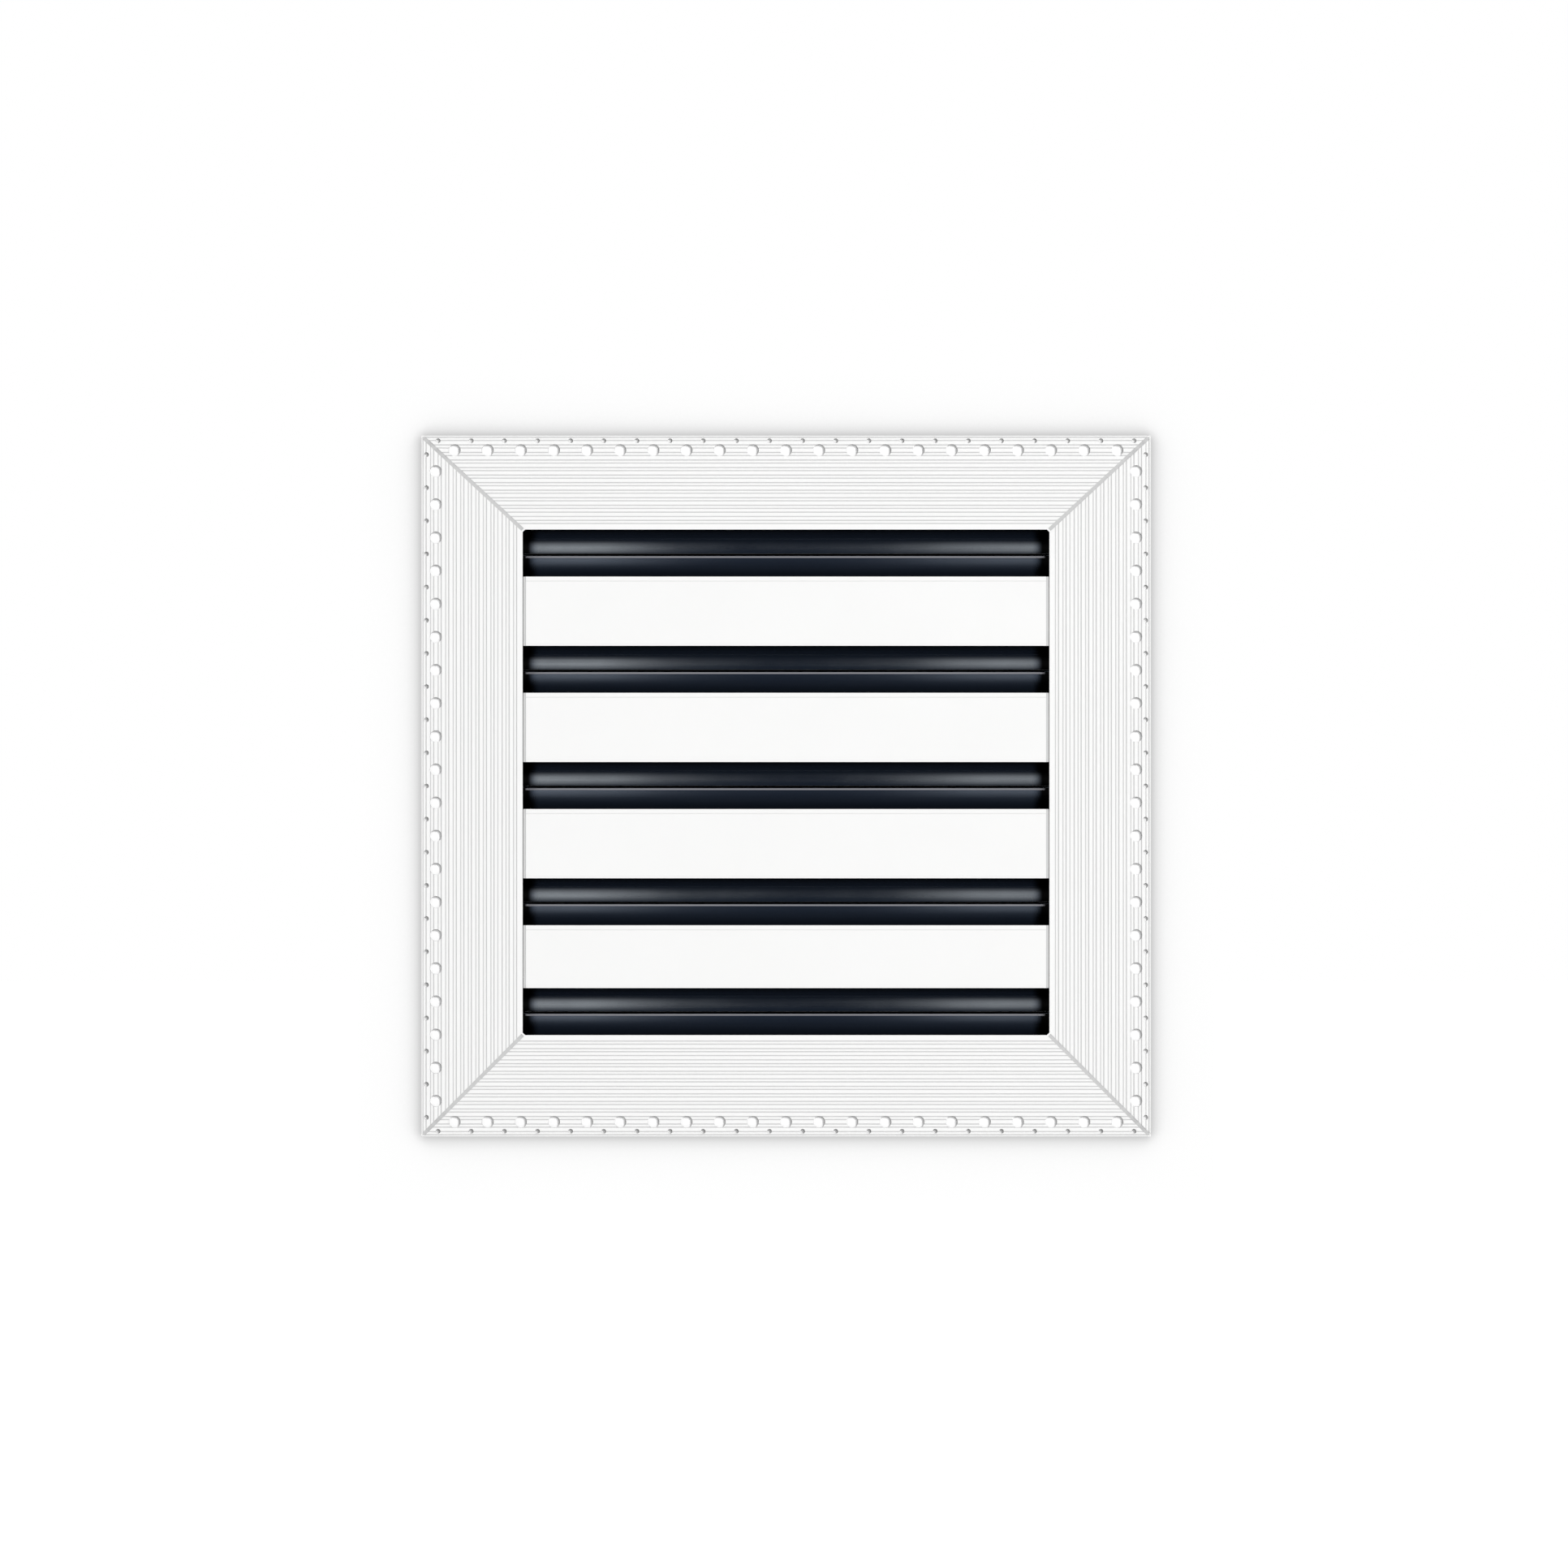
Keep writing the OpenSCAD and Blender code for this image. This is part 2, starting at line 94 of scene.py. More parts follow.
def ramp(tree, value, low, high, to_low=0.0, to_high=1.0, smooth=False):
    """Carries a value from the stretch low to high over to the stretch to_low to to_high."""
    kind = "SMOOTHSTEP" if smooth else "LINEAR"
    stretch = {"Value": value, "From Min": low, "From Max": high, "To Min": to_low, "To Max": to_high}
    return place(tree, "ShaderNodeMapRange", stretch, interpolation_type=kind).outputs["Result"]


def blend(tree, share, first, second):
    """The value that lies the given share of the way from the first to the second."""
    inputs = {"Factor": share, "A": first, "B": second}
    return place(tree, "ShaderNodeMix", inputs).outputs["Result"]


def tint(tree, share, first, second):
    """The colour that lies the given share of the way from the first to the second."""
    inputs = {"Factor": share, 6: first, 7: second}
    return place(tree, "ShaderNodeMix", inputs, data_type="RGBA").outputs[2]


def noise(tree, vector, scale, detail=2.0, roughness=0.5):
    """Soft noise with patches of about one over the scale, in metres."""
    inputs = {"Vector": vector, "Scale": scale, "Detail": detail, "Roughness": roughness}
    return place(tree, "ShaderNodeTexNoise", inputs).outputs["Fac"]


def split(tree, vector):
    """The X, Y and Z of a vector."""
    return place(tree, "ShaderNodeSeparateXYZ", {"Vector": vector}).outputs


def new_group(name, inputs, outputs):
    """An empty node group with its named sockets, and the sockets of its two ends."""
    group = bpy.data.node_groups.new(name, "ShaderNodeTree")
    for socket, value in inputs.items():
        kind = "NodeSocketVector" if isinstance(value, tuple) else "NodeSocketFloat"
        group.interface.new_socket(socket, in_out="INPUT", socket_type=kind).default_value = value
    for socket, kind in outputs.items():
        group.interface.new_socket(socket, in_out="OUTPUT", socket_type=kind)
    return group, group.nodes.new("NodeGroupInput").outputs, group.nodes.new("NodeGroupOutput").inputs


def make_coat_group():
    """Sprayed and baked coat: the height of its peel, patches of gloss, and faint rubs."""
    inputs = {"Vector": (0.0, 0.0, 0.0), "Peel Scale": 1100.0, "Patch Scale": 22.0}
    outputs = {"Height": "NodeSocketFloat", "Patches": "NodeSocketFloat", "Rubs": "NodeSocketFloat"}
    grain_share = 0.25
    rub_low = 0.62
    rub_high = 0.74
    tree, given, wanted = new_group("sprayed coat", inputs, outputs)
    peel = noise(tree, given["Vector"], given["Peel Scale"], detail=1.5)
    grain = noise(tree, given["Vector"], scale=5200.0, detail=1.0)
    height = reckon(tree, "ADD", peel, reckon(tree, "MULTIPLY", grain, grain_share))
    tree.links.new(height, wanted["Height"])
    patches = noise(tree, given["Vector"], given["Patch Scale"], detail=4.0, roughness=0.6)
    tree.links.new(ramp(tree, patches, noise_low, noise_high), wanted["Patches"])
    drawn_out = place(tree, "ShaderNodeMapping", {"Vector": given["Vector"], "Scale": (1.0, 1.0, 0.22)})
    streaks = noise(tree, drawn_out.outputs["Vector"], scale=130.0, detail=5.0, roughness=0.7)
    tree.links.new(ramp(tree, streaks, rub_low, rub_high), wanted["Rubs"])
    return tree


def make_edge_group():
    """Rounded normals at sharp edges, and a broken mask of where the finish is worn there."""
    inputs = {"Vector": (0.0, 0.0, 0.0), "Radius": 0.2 * MM, "Gain": 3.0}
    outputs = {"Normal": "NodeSocketVector", "Mask": "NodeSocketFloat"}
    break_low = 0.35
    break_high = 0.65
    tree, given, wanted = new_group("rounded edges", inputs, outputs)
    rounded = place(tree, "ShaderNodeBevel", {"Radius": given["Radius"]}, samples=6).outputs["Normal"]
    flat = tree.nodes.new("ShaderNodeNewGeometry").outputs["Normal"]
    pair = {0: rounded, 1: flat}
    same = place(tree, "ShaderNodeVectorMath", pair, operation="DOT_PRODUCT").outputs["Value"]
    strong = reckon(tree, "MULTIPLY", reckon(tree, "SUBTRACT", 1.0, same), given["Gain"])
    clouds = noise(tree, given["Vector"], scale=160.0, detail=4.0, roughness=0.65)
    breaks = ramp(tree, clouds, break_low, break_high)
    mask = place(tree, "ShaderNodeMath", {0: strong, 1: breaks}, operation="MULTIPLY", use_clamp=True)
    tree.links.new(mask.outputs[0], wanted["Mask"])
    tree.links.new(rounded, wanted["Normal"])
    return tree


def make_lean_group():
    """Masks of the faces that lean at about 45 degrees to the front and of those square to it."""
    inputs = {"Normal": (0.0, -1.0, 0.0)}
    outputs = {"Leaning": "NodeSocketFloat", "Square": "NodeSocketFloat"}
    slope = math.cos(math.pi / 4)
    slope_near = 0.08
    slope_far = 0.16
    square_near = 0.1
    square_far = 0.3
    tree, given, wanted = new_group("leaning faces", inputs, outputs)
    facing = reckon(tree, "ABSOLUTE", split(tree, given["Normal"])["Y"])
    off_slope = reckon(tree, "ABSOLUTE", reckon(tree, "SUBTRACT", facing, slope))
    tree.links.new(ramp(tree, off_slope, slope_near, slope_far, 1.0, 0.0), wanted["Leaning"])
    tree.links.new(ramp(tree, facing, square_near, square_far, 1.0, 0.0), wanted["Square"])
    return tree


coat_group = make_coat_group()
edge_group = make_edge_group()
lean_group = make_lean_group()


def new_finish(name):
    """An empty material: its node tree, its shader, and its texture coordinates."""
    material = bpy.data.materials.new(name)
    material.use_nodes = True
    tree = material.node_tree
    coords = tree.nodes.new("ShaderNodeTexCoord").outputs
    return material, tree, tree.nodes["Principled BSDF"], coords


def shared(tree, group, **inputs):
    """Places a shared node group in a material and gives its outputs."""
    named = {name.replace("_", " ").title(): value for name, value in inputs.items()}
    return place(tree, "ShaderNodeGroup", named, node_tree=group).outputs


def feed(shader, **sockets):
    """Links sockets to the shader's inputs."""
    for name, value in sockets.items():
        shader.id_data.links.new(value, shader.inputs[name.replace("_", " ").title()])


def bump(tree, height, normal, strength, depth):
    """The normal of a surface with that height laid over its rounded edges."""
    inputs = {"Height": height, "Normal": normal, "Strength": strength, "Distance": depth}
    return place(tree, "ShaderNodeBump", inputs).outputs["Normal"]


def from_outline(tree, spots):
    """The distance of a spot from the nearest of the object's four outer edges."""
    along = split(tree, spots)
    from_side = reckon(tree, "SUBTRACT", cad_high.x, reckon(tree, "ABSOLUTE", along["X"]))
    from_end = reckon(tree, "SUBTRACT", cad_high.z, reckon(tree, "ABSOLUTE", along["Z"]))
    return reckon(tree, "MINIMUM", from_side, from_end)


def level_faces(tree, normals):
    """A mask of the faces that look straight up or down."""
    leaning = 0.8
    level = 0.95
    return ramp(tree, reckon(tree, "ABSOLUTE", split(tree, normals)["Z"]), leaning, level)


def behind(tree, depth, line):
    """A mask of what lies further back than a line, with a soft change across the line."""
    return ramp(tree, depth, line - paint_blur, line + paint_blur, smooth=True)


def shade_and_wear(tree, shade_mask, edge):
    """How far the white turns to grey: fully where shade is painted, and a little along worn edges."""
    edge_share = 0.3
    return reckon(tree, "MAXIMUM", shade_mask, reckon(tree, "MULTIPLY", edge["Mask"], edge_share))


def white_gloss(tree, coat):
    """Satin gloss that varies in patches, with faint smoother rubs."""
    smoothest = 0.46
    dullest = 0.56
    rub_polish = 0.08
    patchy = blend(tree, coat["Patches"], smoothest, dullest)
    return reckon(tree, "SUBTRACT", patchy, reckon(tree, "MULTIPLY", coat["Rubs"], rub_polish))


def black_inside(tree, inwards, depth, normals):
    """A mask of the flat black: what lies behind the face round the opening, and the slots' edges."""
    round_opening = ramp(tree, inwards, collar_inset, collar_inset + collar_fade)
    inside = reckon(tree, "MULTIPLY", round_opening, behind(tree, depth, flange_paint_end))
    near_slots = ramp(tree, inwards, slot_edge_inset, slot_edge_inset + slot_edge_fade)
    slot_edge = reckon(tree, "MULTIPLY", level_faces(tree, normals), near_slots)
    behind_lip = reckon(tree, "MULTIPLY", slot_edge, behind(tree, depth, lip_paint_end))
    return reckon(tree, "MAXIMUM", inside, behind_lip)


def make_white_coat():
    """White powder coat, painted grey as shade on its slopes, mitres and hole walls, black behind the face.
    """
    material, tree, shader, coords = new_finish("white powder coat")
    spots = coords["Object"]
    coat = shared(tree, coat_group, vector=spots)
    edge = shared(tree, edge_group, vector=spots, radius=white_edge_r, gain=1.2)
    slopes = shared(tree, lean_group, normal=coords["Normal"])
    depth = split(tree, spots)["Y"]
    inwards = from_outline(tree, spots)
    off_rim = ramp(tree, inwards, rim_w, rim_w + rim_fade)
    # Painted shade: the grooves' sloping sides, the walls of the holes and the mitres turn grey.
    shade_mask = reckon(tree, "MULTIPLY", slopes["Leaning"], off_rim)
    in_hole_rows = ramp(tree, inwards, hole_rows_w + hole_rows_fade, hole_rows_w)
    hole_wall_shade = reckon(tree, "MULTIPLY", reckon(tree, "MULTIPLY", slopes["Square"], off_rim), in_hole_rows)
    off_floor = reckon(tree, "ABSOLUTE", reckon(tree, "SUBTRACT", depth, cad_low.y + mitre_sunk))
    mitre_shade = ramp(tree, off_floor, mitre_near, mitre_far, 1.0, 0.0)
    colour = tint(tree, shade_and_wear(tree, shade_mask, edge), flange_white, shade_and_wear_grey)
    colour = tint(tree, reckon(tree, "MULTIPLY", mitre_shade, off_rim), colour, mitre_shade_grey)
    colour = tint(tree, hole_wall_shade, colour, hole_wall_shade_grey)
    colour = tint(tree, black_inside(tree, inwards, depth, coords["Normal"]), colour, inner_black)
    relief = bump(tree, coat["Height"], edge["Normal"], strength=0.2, depth=0.02 * MM)
    feed(shader, base_color=colour, roughness=white_gloss(tree, coat), normal=relief)
    return material


white_coat = make_white_coat()
for name in ("flange_top", "flange_bottom", "flange_left", "flange_right"):
    nodes[name].material_slots[0].material = white_coat

# Bars between the slots: aluminium channels, screwed to the end caps, whose faces are powder coated white
# like the flange. The rebates at their ends and a line at the small step near their upper edge are painted
# grey as shade. Behind the face they are sprayed flat black, and the two paints meet at a soft line.
bar_white = (0.885, 0.885, 0.88, 1)
# Painted shade: grey in the rebates and along the step, and a little along worn edges.
rebate_shade_and_wear_grey = (0.64, 0.64, 0.64, 1)
rebate_floor = -1.4 * MM
bar_paint_end = -0.95 * MM
paint_wander = 0.05 * MM
step_drop = 2.42 * MM
step_near = 0.1 * MM
step_far = 0.4 * MM
step_shade_share = 0.3
flat_smoothest = 0.7
flat_dullest = 0.85


def make_bar_coat(name):
    """White on the bar's face, painted shade in its rebates and at its step, and flat black behind the
    face.
    """
    material, tree, shader, coords = new_finish("coat of " + name.replace("_", " "))
    spots = coords["Object"]
    coat = shared(tree, coat_group, vector=spots)
    edge = shared(tree, edge_group, vector=spots, radius=white_edge_r, gain=1.2)
    along = split(tree, spots)
    waves = noise(tree, spots, scale=300.0, detail=3.0)
    wander = ramp(tree, waves, noise_low, noise_high, -paint_wander, paint_wander)
    wavy_depth = reckon(tree, "ADD", along["Y"], wander)
    behind_lip = behind(tree, wavy_depth, lip_paint_end)
    slot_edge = reckon(tree, "MULTIPLY", level_faces(tree, coords["Normal"]), behind_lip)
    inside = reckon(tree, "MAXIMUM", behind(tree, wavy_depth, bar_paint_end), slot_edge)
    # A grey line painted as shade along the small step near the bar's upper edge.
    step_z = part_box(name)[1].z - step_drop
    off_step = reckon(tree, "ABSOLUTE", reckon(tree, "SUBTRACT", step_z, along["Z"]))
    step_shade_line = ramp(tree, off_step, step_near, step_far, step_shade_share, 0.0)
    shade_mask = reckon(tree, "MAXIMUM", behind(tree, along["Y"], rebate_floor), step_shade_line)
    colour = tint(tree, shade_and_wear(tree, shade_mask, edge), bar_white, rebate_shade_and_wear_grey)
    colour = tint(tree, inside, colour, inner_black)
    flat = blend(tree, coat["Patches"], flat_smoothest, flat_dullest)
    gloss = blend(tree, inside, white_gloss(tree, coat), flat)
    relief = bump(tree, coat["Height"], edge["Normal"], strength=0.25, depth=0.02 * MM)
    feed(shader, base_color=colour, roughness=gloss, normal=relief)
    return material


for name in nodes:
    if name.startswith("mullion"):
        nodes[name].material_slots[0].material = make_bar_coat(name)

# Hinge rails and end caps: an aluminium rail above the first slot and below the last one, screwed to the
# flange's collar, and a plate at each end that the rails and the bars are screwed to. They are sprayed
# flat black, rubbed bare along the edges.
bare_metal = (0.42, 0.42, 0.43, 1)
spray_smoothest = 0.62
spray_dullest = 0.82
rubbed_share = 0.35


def make_black_coat():
    """Flat black spray, rubbed to the metal here and there along the edges."""
    material, tree, shader, coords = new_finish("flat black spray")
    spots = coords["Object"]
    coat = shared(tree, coat_group, vector=spots, peel_scale=1700.0)
    edge = shared(tree, edge_group, vector=spots, radius=0.25 * MM, gain=1.0)
    wear_and_highlight = reckon(tree, "MULTIPLY", edge["Mask"], rubbed_share)
    colour = tint(tree, wear_and_highlight, inner_black, bare_metal)
    dull = blend(tree, coat["Patches"], spray_smoothest, spray_dullest)
    relief = bump(tree, coat["Height"], edge["Normal"], strength=0.35, depth=0.03 * MM)
    feed(shader, base_color=colour, roughness=dull, normal=relief)
    return material


black_coat = make_black_coat()
for name in ("rail_top", "rail_bottom", "end_cap_left", "end_cap_right"):
    nodes[name].material_slots[0].material = black_coat

# Deflector blades: thin extruded aluminium, two to a slot, each swinging on a bead along its outer edge.
# They are coated glossy blue-black over the die's fine lines, darker towards the hinge as painted shade.
# Their ends and the free edge of each lower blade are painted shade, a black that mirrors nothing, and a
# grey line just below that edge is a painted highlight.
# The blue-black is painted shade, darker towards the hinge deep in the slot, and it is painted lighter on
# the lower blades than on the upper ones, as light falls on them.
upper_black = (0.008, 0.0125, 0.022, 1)
lower_black = (0.012, 0.018, 0.031, 1)
hinge_shade_black = (0.0045, 0.006, 0.0088, 1)
shade_black = (0.0006, 0.0006, 0.0006, 1)
# A painted highlight: the grey line just below a lower blade's free edge.
highlight_grey = (0.25, 0.25, 0.27, 1)
upper_sheen = (0.87, 0.94, 1, 1)
lower_sheen = (0.73, 0.84, 1, 1)
upper_satin = 0.078
lower_satin = 0.155
satin_less = 0.01
satin_more = 0.02
die_gloss = 0.012
highlight_gloss = 0.4
worn_share = 0.05
peel_share = 0.5
blade_radius = 14.1 * MM
blade_reach = 8.7 * MM
arc_near = 0.05 * MM
arc_far = 0.1 * MM
# The painted shade at a blade's ends is full up to one length from the end and gone at a longer one, both
# given below. The painted shade and highlight along the free edge are measured from that edge in the same
# way, and the highlight line starts a little off the ends.
end_shade_shift = 0.33 * MM
end_shade_full = 3.7 * MM
end_shade_end = 8.5 * MM
edge_shade_full = 0.2 * MM
edge_shade_end = 0.35 * MM
highlight_full = 0.8 * MM
highlight_end = 1.05 * MM
highlight_start_x = 2.5 * MM
highlight_full_x = 5.0 * MM
hinge_spots = {}
for joint in frame["joints"]:
    hinge_spots[joint["child"]] = Vector(joint["pos_m"])


def true_curve(tree, name, spots, flat):
    """Normals of the blade's one true arc on its front face, and the given ones on its other faces."""
    upwards = 1 if name.endswith("upper") else -1
    centre_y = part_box(name)[0].y + blade_radius
    centre_z = hinge_spots[name].z - upwards * blade_reach
    shift = {0: spots, 1: (0, centre_y, centre_z)}
    from_centre = place(tree, "ShaderNodeVectorMath", shift, operation="SUBTRACT").outputs[0]
    flatten = {0: from_centre, 1: (0, 1, 1)}
    outwards = place(tree, "ShaderNodeVectorMath", flatten, operation="MULTIPLY").outputs[0]
    length = place(tree, "ShaderNodeVectorMath", {0: outwards}, operation="LENGTH").outputs["Value"]
    off_arc = reckon(tree, "ABSOLUTE", reckon(tree, "SUBTRACT", length, blade_radius))
    on_front = ramp(tree, off_arc, arc_near, arc_far, 1.0, 0.0)
    turned = place(tree, "ShaderNodeVectorTransform", {"Vector": outwards}, vector_type="NORMAL",
                   convert_from="OBJECT", convert_to="WORLD").outputs["Vector"]
    inputs = {"Factor": on_front, 4: flat, 5: turned}
    return place(tree, "ShaderNodeMix", inputs, data_type="VECTOR").outputs[1]


def stretch_gloss(tree, shader):
    """Dims what a lower blade mirrors and draws it out across the blade."""
    shader.inputs["Anisotropic"].default_value = 1.0
    shader.inputs["Specular IOR Level"].default_value = 0.285
    across_blade = place(tree, "ShaderNodeTangent", direction_type="RADIAL", axis="X")
    feed(shader, tangent=across_blade.outputs["Tangent"])


def free_edge_shade_and_highlight(tree, from_edge, from_end):
    """Masks of a lower blade's free edge, painted black as shade, and of the painted highlight just below
    it.
    """
    off_edge = ramp(tree, from_edge, edge_shade_full, edge_shade_end, smooth=True)
    edge_shade = reckon(tree, "SUBTRACT", 1.0, off_edge)
    # The painted highlight: a grey line just below the free edge, a little off the ends.
    near_edge = ramp(tree, from_edge, highlight_full, highlight_end, 1.0, 0.0, smooth=True)
    off_end = ramp(tree, from_end, highlight_start_x, highlight_full_x, smooth=True)
    wear_and_highlight = reckon(tree, "MULTIPLY", reckon(tree, "MULTIPLY", near_edge, off_edge), off_end)
    return edge_shade, wear_and_highlight


def make_blade_coat(name):
    """Glossy blue-black coat. Where shade is painted black it is a black metal, which mirrors nothing."""
    low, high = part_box(name)
    upper = name.endswith("upper")
    satin = upper_satin if upper else lower_satin
    free_z = low.z if upper else high.z
    material, tree, shader, coords = new_finish("coat of " + name.replace("_", " "))
    spots = coords["Object"]
    coat = shared(tree, coat_group, vector=spots, peel_scale=1500.0, patch_scale=30.0)
    edge = shared(tree, edge_group, vector=spots, radius=0.1 * MM, gain=0.6)
    drawn = place(tree, "ShaderNodeMapping", {"Vector": spots, "Scale": (0.004, 1.0, 1.0)})
    die_lines = noise(tree, drawn.outputs["Vector"], scale=4200.0, detail=3.0)
    along = split(tree, spots)
    off_centre = reckon(tree, "ABSOLUTE", reckon(tree, "ADD", along["X"], end_shade_shift))
    from_end = reckon(tree, "SUBTRACT", high.x, off_centre)
    from_edge = reckon(tree, "ABSOLUTE", reckon(tree, "SUBTRACT", along["Z"], free_z))

    # Painted shade: the blue-black darkens towards the hinge, deeper in the slot.
    shade_towards_hinge = ramp(tree, from_edge, 0.0, high.z - low.z)
    colour = tint(tree, shade_towards_hinge, upper_black if upper else lower_black, hinge_shade_black)
    colour = tint(tree, reckon(tree, "MULTIPLY", edge["Mask"], worn_share), colour, bare_metal)
    gloss = blend(tree, coat["Patches"], satin - satin_less, satin + satin_more)
    lined = ramp(tree, die_lines, noise_low, noise_high, -die_gloss, die_gloss)
    gloss = reckon(tree, "ADD", gloss, lined)
    # Painted shade: the ends turn to a black metal that mirrors nothing.
    painted_shade = ramp(tree, from_end, end_shade_full, end_shade_end, 1.0, 0.0, smooth=True)
    shader.inputs["Specular Tint"].default_value = upper_sheen if upper else lower_sheen
    if upper:
        colour = tint(tree, painted_shade, colour, shade_black)
    else:
        stretch_gloss(tree, shader)
        edge_shade, wear_and_highlight = free_edge_shade_and_highlight(tree, from_edge, from_end)
        # The free edge of a lower blade is painted shade too.
        painted_shade = reckon(tree, "MAXIMUM", painted_shade, edge_shade)
        # A grey line painted as a highlight just below the free edge.
        colour = tint(tree, wear_and_highlight, tint(tree, painted_shade, colour, shade_black), highlight_grey)
        gloss = blend(tree, wear_and_highlight, gloss, highlight_gloss)

    height = reckon(tree, "ADD", reckon(tree, "MULTIPLY", coat["Height"], peel_share), die_lines)
    curved = true_curve(tree, name, spots, edge["Normal"])
    relief = bump(tree, height, curved, strength=0.06, depth=0.006 * MM)
    feed(shader, base_color=colour, metallic=painted_shade, roughness=gloss, normal=relief)
    return material


for name in nodes:
    if name.startswith("blade"):
        nodes[name].material_slots[0].material = make_blade_coat(name)

# Corner keys: L-shaped bars of bare extruded aluminium, pushed into the chambers of two flange members and
# locked there by grub screws. They keep the dull skin and the fine lines of the extrusion.
key_metal = (0.72, 0.72, 0.71, 1)
key_shadow = (0.55, 0.55, 0.55, 1)
key_smoothest = 0.3
key_dullest = 0.45


def make_key_metal():
    """Bare aluminium, clouded in patches, with the extrusion's lines in its gloss and relief."""
    material, tree, shader, coords = new_finish("bare extruded aluminium")
    spots = coords["Object"]
    coat = shared(tree, coat_group, vector=spots, peel_scale=2600.0, patch_scale=60.0)
    edge = shared(tree, edge_group, vector=spots, radius=0.2 * MM, gain=1.0)
    drawn = place(tree, "ShaderNodeMapping", {"Vector": spots, "Scale": (1.0, 0.02, 1.0)})
    lines = noise(tree, drawn.outputs["Vector"], scale=2400.0, detail=3.0)
    clouded = tint(tree, coat["Patches"], key_metal, key_shadow)
    gloss = ramp(tree, lines, noise_low, noise_high, key_smoothest, key_dullest)
    relief = bump(tree, lines, edge["Normal"], strength=0.15, depth=0.01 * MM)
    shader.inputs["Metallic"].default_value = 1.0
    feed(shader, base_color=clouded, roughness=gloss, normal=relief)
    return material


key_finish = make_key_metal()
for name in nodes:
    if name.startswith("corner_key"):
        nodes[name].material_slots[0].material = key_finish

# Screws: zinc plated countersunk screws in the end caps and pan head ones in the collar, and blackened
# grub screws at the corner keys. The plating is bright along the edges, where a driver has rubbed, and
# cloudy elsewhere.
zinc_bright = (0.66, 0.66, 0.63, 1)
zinc_cloudy = (0.50, 0.51, 0.52, 1)
oxide_bright = (0.16, 0.16, 0.16, 1)
oxide_cloudy = (0.05, 0.05, 0.055, 1)


def make_screw_metal(name, bright, cloudy, smooth, dull):
    """Plated steel, cloudy in patches and bright along its edges."""
    material, tree, shader, coords = new_finish(name)
    spots = coords["Object"]
    coat = shared(tree, coat_group, vector=spots, peel_scale=4000.0, patch_scale=420.0)
    edge = shared(tree, edge_group, vector=spots, radius=0.12 * MM, gain=2.0)
    clouded = tint(tree, coat["Patches"], bright, cloudy)
    colour = tint(tree, edge["Mask"], clouded, bright)
    gloss = blend(tree, coat["Patches"], smooth, dull)
    relief = bump(tree, coat["Height"], edge["Normal"], strength=0.1, depth=0.01 * MM)
    shader.inputs["Metallic"].default_value = 1.0
    feed(shader, base_color=colour, roughness=gloss, normal=relief)
    return material


zinc = make_screw_metal("zinc plated steel", zinc_bright, zinc_cloudy, smooth=0.22, dull=0.4)
black_oxide = make_screw_metal("blackened steel", oxide_bright, oxide_cloudy, smooth=0.3, dull=0.5)
nodes["cap_screws"].material_slots[0].material = zinc
nodes["core_screws"].material_slots[0].material = zinc
nodes["key_screws"].material_slots[0].material = black_oxide

# Stage behind the object: a white bed that the flange lies on, a white board a little further back with a
# soft shadow round the object painted on it, and a black sheet behind the slots that is painted shade. Only
# the camera sees them, and only from the front, so that the back of the object stays in view and in the
# light.
bed_paint = (0.72, 0.72, 0.72, 1)
bed_y = 0.05 * MM
bed_inset = 0.9 * MM
bed_border = 27.6 * MM
board_y = 1.5 * MM
board_reach = 26 * MM
board_border = 30 * MM
shadow_reach = 25 * MM
shadow_deep = 0.58
shadow_thin = 0.9
shadow_end = 0.97
deep_white = 0.62
thin_white = 0.86
backing_shade_black = (0.002, 0.002, 0.002, 1)
backing_border = 1.0 * MM
backing_gap = 0.2 * MM
core_low = Vector((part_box("end_cap_left")[0].x, 0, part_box("rail_bottom")[0].z))
core_high = Vector((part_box("end_cap_right")[1].x, 0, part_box("rail_top")[1].z))


def start_sheet(name, low, high, border, y):
    """A sheet facing -Y that covers low to high and a border round it, left in edit mode, selected."""
    bpy.ops.object.select_all(action="DESELECT")
    turn = (math.pi / 2, 0, 0)
    centre = (low + high) / 2
    bpy.ops.mesh.primitive_plane_add(size=1, location=(centre.x, y, centre.z), rotation=turn)
    sheet = bpy.context.active_object
    sheet.name = name
    sheet.scale = (high.x - low.x + 2 * border, high.z - low.z + 2 * border, 1)
    bpy.ops.object.transform_apply(location=True, rotation=True, scale=True)
    bpy.ops.object.mode_set(mode="EDIT")
    bpy.ops.mesh.select_all(action="SELECT")
    return sheet


def make_stage_paint(name, colour, one_sided=False, glow=0.0):
    """Matt paint. One-sided paint isn't there from behind, and a glow lifts what the camera sees."""
    material = bpy.data.materials.new(name)
    material.use_nodes = True
    tree = material.node_tree
    tree.nodes.remove(tree.nodes["Principled BSDF"])
    paint = place(tree, "ShaderNodeBsdfDiffuse", {"Color": colour}).outputs[0]
    if glow:
        seen = tree.nodes.new("ShaderNodeLightPath").outputs["Is Camera Ray"]
        lift = place(tree, "ShaderNodeEmission", {"Strength": reckon(tree, "MULTIPLY", seen, glow)})
        paint = place(tree, "ShaderNodeAddShader", {0: paint, 1: lift.outputs[0]}).outputs[0]
    if one_sided:
        back = tree.nodes.new("ShaderNodeNewGeometry").outputs["Backfacing"]
        clear = tree.nodes.new("ShaderNodeBsdfTransparent").outputs[0]
        paint = place(tree, "ShaderNodeMixShader", {0: back, 1: paint, 2: clear}).outputs[0]
    tree.links.new(paint, tree.nodes["Material Output"].inputs["Surface"])
    return material


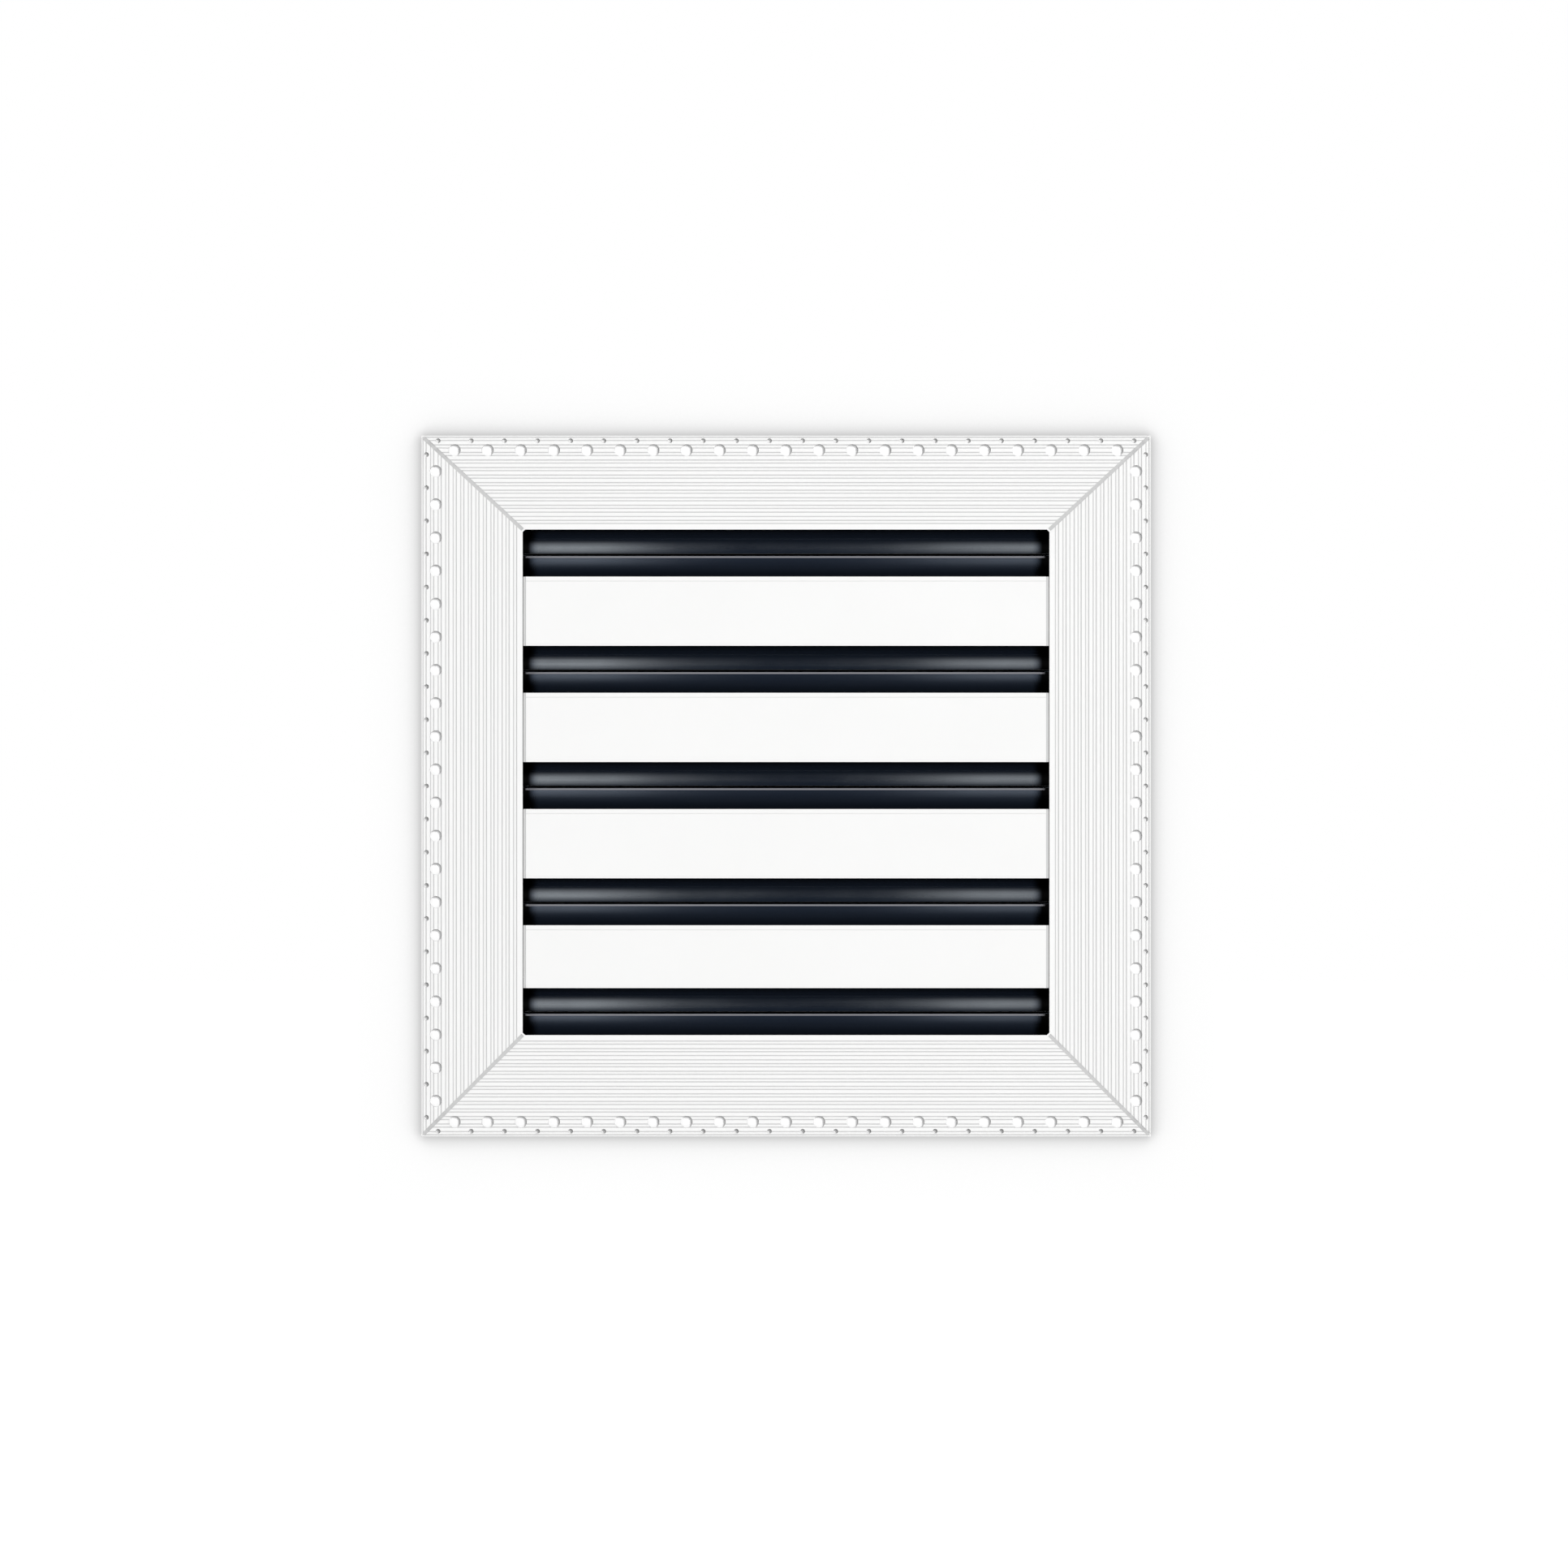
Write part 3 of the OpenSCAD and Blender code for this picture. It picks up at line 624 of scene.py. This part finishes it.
def make_painted_board_shadow():
    """White, with a painted shadow where the object stands close over it, and not there from behind."""
    material = make_stage_paint("board paint", (0, 0, 0, 1), one_sided=True)
    tree = material.node_tree
    reach = {"Distance": shadow_reach}
    # A painted shadow: the glow dims with how much of the sky the object hides close by.
    open_share = place(tree, "ShaderNodeAmbientOcclusion", reach, samples=16).outputs["AO"]
    near = ramp(tree, open_share, shadow_deep, shadow_thin, deep_white, thin_white)
    far = ramp(tree, open_share, shadow_thin, shadow_end, 0.0, 1.0 - thin_white)
    white = place(tree, "ShaderNodeEmission", {"Strength": reckon(tree, "ADD", near, far)})
    tree.links.new(white.outputs[0], tree.nodes["Mix Shader"].inputs[1])
    return material


def end_sheet(sheet, paint):
    """Leaves edit mode, paints the sheet and hides it from every ray but the camera's."""
    bpy.ops.object.mode_set(mode="OBJECT")
    sheet.data.materials.append(paint)
    sheet.visible_diffuse = False
    sheet.visible_glossy = False
    sheet.visible_transmission = False
    sheet.visible_shadow = False


bed = start_sheet("bed", cad_low, cad_high, -bed_inset, bed_y)
bpy.ops.mesh.inset(thickness=bed_border)
bpy.ops.mesh.delete(type="FACE")
end_sheet(bed, make_stage_paint("bed paint", bed_paint, one_sided=True))

board = start_sheet("board", cad_low, cad_high, board_reach, board_y)
bpy.ops.mesh.inset(thickness=board_border)
bpy.ops.mesh.delete(type="FACE")
end_sheet(board, make_painted_board_shadow())

# The backing: a black sheet behind the slots, seen only by the camera, as painted shade of the duct.
backing = start_sheet("backing", core_low, core_high, backing_border, cad_high.y + backing_gap)
end_sheet(backing, make_stage_paint("backing paint", backing_shade_black, one_sided=True))

# Floor: a plain pale floor below the object, which lifts to white where the camera sees it and keeps the
# object's shadow. It isn't there from below, so that the object can be looked at from there too.
floor_paint = (0.9, 0.9, 0.9, 1)
floor_glow = 0.7
floor_z = -0.42
floor_size = 30

bpy.ops.object.select_all(action="DESELECT")
bpy.ops.mesh.primitive_plane_add(size=floor_size, location=(0, 0, floor_z))
floor = bpy.context.active_object
floor.name = "floor"
floor.data.materials.append(make_stage_paint("floor paint", floor_paint, one_sided=True, glow=floor_glow))
floor.visible_glossy = False

# Light: a soft box from the upper right as the key, a tall strip on each side of the camera that the
# blades mirror, a soft box behind for the back, a lamp for the bed alone, which shades the holes, and an
# even glow all round. A dark cloth behind the camera keeps the blades dark between the strips.
strip_x = 0.2
strip_y = -4.0
strip_z = 0.15
strip_w = 0.13
strip_h = 4.8
strip_fall = 4.0
key_spot = (1.13, -5.2, 0.8)
back_spot = (0.9, 2.2, 1.4)
bed_lamp_spot = (2.1, -4.4, 1.65)
watts_for_radiance = 4
glow_level = 0.67
cloth_paint = (0.004, 0.004, 0.004, 1)
cloth_y = -5.6
cloth_w = 1.6
cloth_h = 16.0


def softbox(name, spot, width, height, radiance, level=False):
    """An area lamp of even brightness that faces the object, or looks level, and isn't seen itself."""
    bpy.ops.object.select_all(action="DESELECT")
    bpy.ops.object.light_add(type="AREA", location=spot)
    lamp = bpy.context.active_object
    lamp.name = name
    aim = Vector((0, 0, spot[2])) - Vector(spot) if level else -Vector(spot)
    lamp.rotation_euler = aim.to_track_quat("-Z", "Y").to_euler()
    lamp.data.shape = "RECTANGLE"
    lamp.data.size = width
    lamp.data.size_y = height
    lamp.data.energy = watts_for_radiance * width * height * radiance
    lamp.visible_camera = False
    return lamp


def strip(name, x, radiance):
    """A tall level lamp whose brightness dies away smoothly towards its two ends."""
    lamp = softbox(name, (x, strip_y, strip_z), strip_w, strip_h, radiance, level=True)
    lamp.data.use_nodes = True
    tree = lamp.data.node_tree
    along = tree.nodes.new("ShaderNodeNewGeometry").outputs["Parametric"]
    off_middle = ramp(tree, split(tree, along)["Y"], 0.0, 1.0, -1.0, 1.0)
    fall = reckon(tree, "SUBTRACT", 1.0, reckon(tree, "MULTIPLY", off_middle, off_middle))
    bell = reckon(tree, "POWER", fall, strip_fall)
    tree.links.new(bell, tree.nodes["Emission"].inputs["Strength"])


strip("strip_left", -strip_x, radiance=5.6)
strip("strip_right", strip_x, radiance=4.4)
softbox("softbox_key", key_spot, width=1.0, height=1.0, radiance=21.0)
softbox("softbox_back", back_spot, width=1.2, height=1.2, radiance=3.6)
bed_lamp = softbox("bed_lamp", bed_lamp_spot, width=0.8, height=0.8, radiance=75.0)
only_bed = bpy.data.collections.new("lit by the bed lamp")
only_bed.objects.link(bed)
bed_lamp.light_linking.receiver_collection = only_bed

bpy.ops.object.select_all(action="DESELECT")
bpy.ops.mesh.primitive_plane_add(size=1, location=(0, cloth_y, 0), rotation=(-math.pi / 2, 0, 0))
cloth = bpy.context.active_object
cloth.name = "dark_cloth"
cloth.scale = (cloth_w, cloth_h, 1)
bpy.ops.object.transform_apply(location=True, rotation=True, scale=True)
cloth.visible_camera = False
cloth.visible_diffuse = False
cloth.visible_shadow = False
cloth.data.materials.append(make_stage_paint("dark cloth", cloth_paint))

world = bpy.data.worlds.new("even glow")
bpy.context.scene.world = world
world.use_nodes = True
sky = world.node_tree
rays = sky.nodes.new("ShaderNodeLightPath").outputs
seen_sky = reckon(sky, "MAXIMUM", rays["Is Camera Ray"], rays["Is Glossy Ray"])
seen_sky = reckon(sky, "MAXIMUM", seen_sky, rays["Is Transmission Ray"])
sky.links.new(blend(sky, seen_sky, glow_level, 1.0), sky.nodes["Background"].inputs["Strength"])
sky.nodes["Background"].inputs["Color"].default_value = (1, 1, 1, 1)

# Camera: straight in front at a long focal length, as far off as the photo's framing asks, with the
# object's middle a little right of and below the frame's.
photo_px = 1932
outline_left_px = 519
outline_right_px = 1418
object_middle_px = 968.5
lens_mm = 200
sensor_mm = 36
middle = (cad_low + cad_high) / 2
frame_w = (cad_high.x - cad_low.x) * photo_px / (outline_right_px - outline_left_px)
camera_y = cad_low.y - frame_w * lens_mm / sensor_mm
aim_shift = (object_middle_px - photo_px / 2) * frame_w / photo_px

bpy.ops.object.select_all(action="DESELECT")
bpy.ops.object.camera_add(location=(middle.x - aim_shift, camera_y, middle.z + aim_shift))
camera = bpy.context.active_object
camera.rotation_euler = (math.pi / 2, 0, 0)
camera.data.lens = lens_mm
camera.data.sensor_width = sensor_mm
bpy.context.scene.camera = camera
bpy.context.scene.view_settings.view_transform = "Standard"
